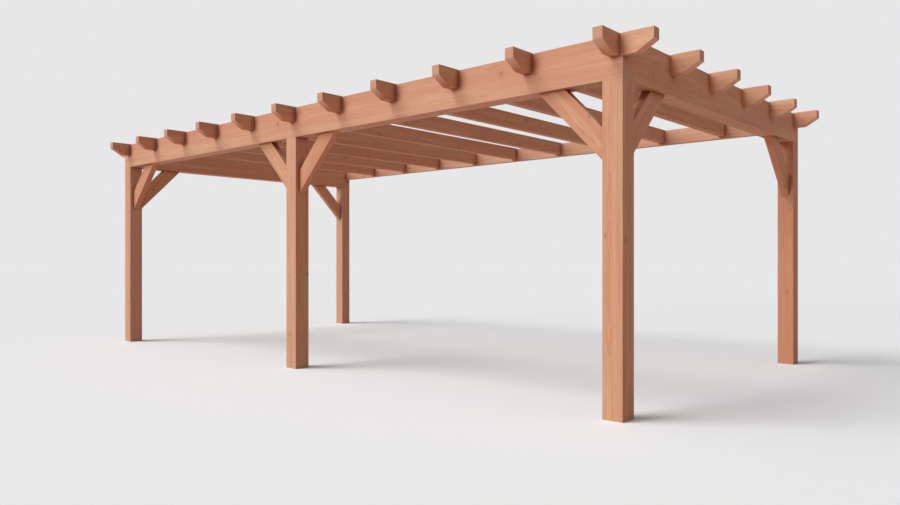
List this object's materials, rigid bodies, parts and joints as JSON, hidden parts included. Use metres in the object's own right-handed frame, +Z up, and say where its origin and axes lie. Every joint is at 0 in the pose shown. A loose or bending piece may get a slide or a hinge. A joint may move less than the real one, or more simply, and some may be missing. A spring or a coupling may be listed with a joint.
{
  "type": "lean-to veranda",
  "caption": "Open lean-to veranda frame of planed softwood: square posts, slotted beams, flush rafters with shaped tails, and knee braces.",
  "frame": {"origin": "on the floor, under the middle of the frame's outer box", "axes": "+X along the front beam to the right seen from the front, +Y from the open front to the back beam, +Z up"},
  "size_m": [7.428, 3.734, 2.464],
  "materials": {
    "post_timber": "planed, matte",
    "beam_timber": "planed, matte",
    "rafter_timber": "planed, matte",
    "brace_timber": "planed, matte"
  },
  "bodies": {
    "root": {"post_front_left": "post_timber", "post_front_middle": "post_timber", "post_front_right": "post_timber", "post_back_left": "post_timber", "post_back_right": "post_timber", "beam_front": "beam_timber", "beam_left": "beam_timber", "beam_right": "beam_timber", "beam_back": "beam_timber", "rafter_1": "rafter_timber", "rafter_2": "rafter_timber", "rafter_3": "rafter_timber", "rafter_4": "rafter_timber", "rafter_5": "rafter_timber", "rafter_6": "rafter_timber", "rafter_7": "rafter_timber", "rafter_8": "rafter_timber", "rafter_9": "rafter_timber", "brace_front_left": "brace_timber", "brace_middle_left": "brace_timber", "brace_middle_right": "brace_timber", "brace_front_right": "brace_timber", "brace_left_front": "brace_timber", "brace_left_back": "brace_timber", "brace_right_front": "brace_timber", "brace_right_back": "brace_timber", "tail_left_1": "rafter_timber", "tail_left_2": "rafter_timber", "tail_left_3": "rafter_timber", "tail_left_4": "rafter_timber", "tail_left_5": "rafter_timber", "tail_left_6": "rafter_timber", "tail_right_1": "rafter_timber", "tail_right_2": "rafter_timber", "tail_right_3": "rafter_timber", "tail_right_4": "rafter_timber", "tail_right_5": "rafter_timber", "tail_right_6": "rafter_timber"}
  },
  "joints": []
}
